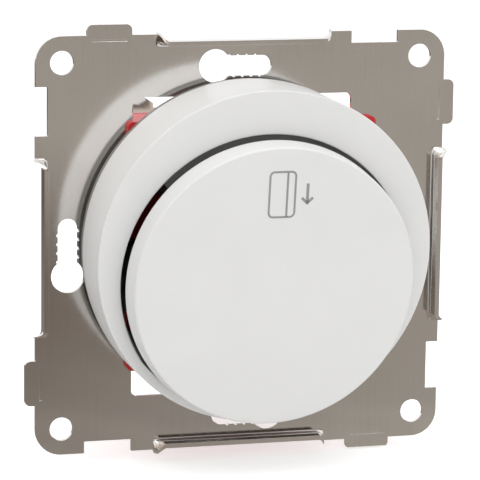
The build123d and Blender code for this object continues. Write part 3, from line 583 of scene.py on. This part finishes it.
for node, look in edged.items():
    addEdged(node, look)
print("edges rounded on", len(edged), "pieces")


# Finishes of the pieces inside.

slotOf = {entry["node"]: entry["material_slot"] for entry in frame["record"]["subparts"]}
for node, cadObject in frame["nodes"].items():
    finish = finishes[slotOf[node]]
    if not cadObject.material_slots:
        cadObject.data.materials.append(finish)
    for place in cadObject.material_slots:
        place.material = finish
print("finishes given to", len(slotOf), "nodes")


# Floor, world and lamps.

studio = dict(floorSide=4000.0, floorZ=-37.3, floorColour=(0.87, 0.87, 0.87), floorGlow=0.50, ambient=0.66)
reach = 1200.0                                 # how far the cards go to each side
cardZ = -37.0                                  # just above the floor
frontY = -900.0
frontTop = 420.0
cardGrain = dict(scale=60.0, low=0.94, high=1.06)
# Glowing cards that only reflections see: painted reflections of a table, a floor behind and a wall in front,
# each darkened towards one place by a painted shade.
cards = {
    "tableCard": dict(
        corners=[(-reach, frontY, cardZ), (reach, frontY, cardZ), (reach, 0, cardZ), (-reach, 0, cardZ)],
        paintedShadePlace=(-150, -170, cardZ), near=110.0, far=250.0,
        paintedShadeTone=(0.100, 0.070, 0.055), light=(0.392, 0.360, 0.322)),
    "rearCard": dict(
        corners=[(-reach, 0, cardZ), (reach, 0, cardZ), (reach, reach, cardZ), (-reach, reach, cardZ)],
        paintedShadePlace=(-130, 350, cardZ), near=100.0, far=400.0,
        paintedShadeTone=(0.120, 0.110, 0.092), light=(0.330, 0.305, 0.275)),
    "frontCard": dict(
        corners=[(-reach, frontY, cardZ), (reach, frontY, cardZ),
                 (reach, frontY, frontTop), (-reach, frontY, frontTop)],
        paintedShadePlace=(246, frontY, 137), near=120.0, far=300.0,
        paintedShadeTone=(0.030, 0.020, 0.018), light=(0.620, 0.517, 0.453)),
}
lamps = {
    "softTop": dict(place=(-60, -180, 620), aim=(0, 0, 0), size=(700, 700), power=2.45, mirrored=True),
    "softFront": dict(place=(330, -700, 120), aim=(0, 0, 0), size=(600, 600), power=0.95, mirrored=False),
}


# Camera, glossy and transmission rays see a plain white; all other rays get the dimmer room.
def seenRay(tree):
    path = tree.nodes.new("ShaderNodeLightPath")
    seen = mathNode(tree, "MAXIMUM", path.outputs["Is Camera Ray"], path.outputs["Is Glossy Ray"])
    return mathNode(tree, "MAXIMUM", seen, path.outputs["Is Transmission Ray"])


def makeWorld():
    world = bpy.data.worlds.new("studio")
    world.use_nodes = True
    tree = world.node_tree
    room = tree.nodes["Background"]
    room.inputs["Color"].default_value = (1.0, 1.0, 1.0, 1.0)
    room.inputs["Strength"].default_value = studio["ambient"]
    white = tree.nodes.new("ShaderNodeBackground")
    white.inputs["Strength"].default_value = 1.0
    white.inputs["Color"].default_value = (1.0, 1.0, 1.0, 1.0)
    mix = tree.nodes.new("ShaderNodeMixShader")
    tree.links.new(seenRay(tree), mix.inputs[0])
    tree.links.new(room.outputs[0], mix.inputs[1])
    tree.links.new(white.outputs[0], mix.inputs[2])
    tree.links.new(mix.outputs[0], tree.nodes["World Output"].inputs["Surface"])
    bpy.context.scene.world = world


def makeFloor():
    material = bpy.data.materials.new("paleFloor")
    material.use_nodes = True
    tree = material.node_tree
    shader = tree.nodes["Principled BSDF"]
    shader.inputs["Base Color"].default_value = (*studio["floorColour"], 1.0)
    shader.inputs["Roughness"].default_value = 1.0
    shader.inputs["Specular IOR Level"].default_value = 0.0
    shader.inputs["Emission Color"].default_value = (1.0, 1.0, 1.0, 1.0)
    glow = mathNode(tree, "MULTIPLY", seenRay(tree), studio["floorGlow"])
    tree.links.new(glow, shader.inputs["Emission Strength"])
    half = studio["floorSide"] / 2 * mm
    z = studio["floorZ"] * mm
    mesh = bpy.data.meshes.new("paleFloor")
    corners = [(-half, -half, z), (half, -half, z), (half, half, z), (-half, half, z)]
    mesh.from_pydata(corners, [], [(0, 1, 2, 3)])
    mesh.materials.append(material)
    floor = bpy.data.objects.new("paleFloor", mesh)
    bpy.context.scene.collection.objects.link(floor)


# A glowing card that only reflections see, a painted reflection: the steel mirrors it, and it lights nothing.
# Its glow rises with the distance from one place, where a painted shade darkens it, with a fine grain in it.
def addCard(name, card):
    material, tree, _, place = startMaterial(name)
    # Painted shade: the card's glow darkens towards one place.
    away = tree.nodes.new("ShaderNodeVectorMath")
    away.operation = "DISTANCE"
    tree.links.new(place, away.inputs[0])
    away.inputs[1].default_value = Vector(card["paintedShadePlace"]) * mm
    share = rangeNode(tree, away.outputs["Value"], card["near"] * mm, card["far"] * mm, 0.0, 1.0)
    glow = tree.nodes.new("ShaderNodeEmission")
    tree.links.new(mixColour(tree, share, card["paintedShadeTone"], card["light"]), glow.inputs["Color"])
    noise = noiseNode(tree, place, cardGrain["scale"])
    grain = rangeNode(tree, noise, *midNoise, cardGrain["low"], cardGrain["high"])
    tree.links.new(grain, glow.inputs["Strength"])
    tree.links.new(glow.outputs[0], tree.nodes["Material Output"].inputs["Surface"])
    mesh = bpy.data.meshes.new(name)
    mesh.from_pydata([tuple(Vector(corner) * mm) for corner in card["corners"]], [], [(0, 1, 2, 3)])
    mesh.materials.append(material)
    piece = bpy.data.objects.new(name, mesh)
    bpy.context.scene.collection.objects.link(piece)
    piece.visible_camera = False
    piece.visible_diffuse = False
    piece.visible_shadow = False
    piece.visible_transmission = False


def addLamp(name, lamp):
    data = bpy.data.lights.new(name, "AREA")
    data.shape = "RECTANGLE"
    data.size, data.size_y = (side * mm for side in lamp["size"])
    data.energy = lamp["power"]
    light = bpy.data.objects.new(name, data)
    bpy.context.scene.collection.objects.link(light)
    light.visible_glossy = lamp["mirrored"]
    light.location = Vector(lamp["place"]) * mm
    light.rotation_mode = "QUATERNION"
    light.rotation_quaternion = (Vector(lamp["aim"]) - Vector(lamp["place"])).to_track_quat("-Z", "Y")


makeWorld()
makeFloor()
for name, card in cards.items():
    addCard(name, card)
for name, lamp in lamps.items():
    addLamp(name, lamp)
print("floor, world and lamps made:", len(lamps), "lamps")


# Camera.

view = dict(
    azimuth=15.328, elevation=10.482, roll=0.729, distance=516.149, target=(-0.226, -0.8, 0.244),
    focalPixels=3048.068, imageSide=480, sensor=36.0, clipStart=10.0, clipEnd=20000.0)


# The camera stands back from the target against its line of sight, then turns about that line by the roll.
def makeCamera():
    a, e, roll = (np.radians(view[key]) for key in ("azimuth", "elevation", "roll"))
    forward = Vector((np.sin(a) * np.cos(e), np.cos(a) * np.cos(e), -np.sin(e)))
    level = Vector((np.cos(a), -np.sin(a), 0))
    upright = level.cross(forward)
    right = level * np.cos(roll) + upright * np.sin(roll)
    up = upright * np.cos(roll) - level * np.sin(roll)
    place = (Vector(view["target"]) - forward * view["distance"]) * mm
    data = bpy.data.cameras.new("studioCamera")
    data.sensor_width = view["sensor"]
    data.lens = view["focalPixels"] / view["imageSide"] * view["sensor"]
    data.clip_start = view["clipStart"] * mm
    data.clip_end = view["clipEnd"] * mm
    camera = bpy.data.objects.new("studioCamera", data)
    bpy.context.scene.collection.objects.link(camera)
    camera.matrix_world = Matrix((
        (right.x, up.x, -forward.x, place.x),
        (right.y, up.y, -forward.y, place.y),
        (right.z, up.z, -forward.z, place.z),
        (0, 0, 0, 1)))
    bpy.context.scene.camera = camera


makeCamera()
bpy.context.scene.view_settings.view_transform = "Standard"
print("camera made")
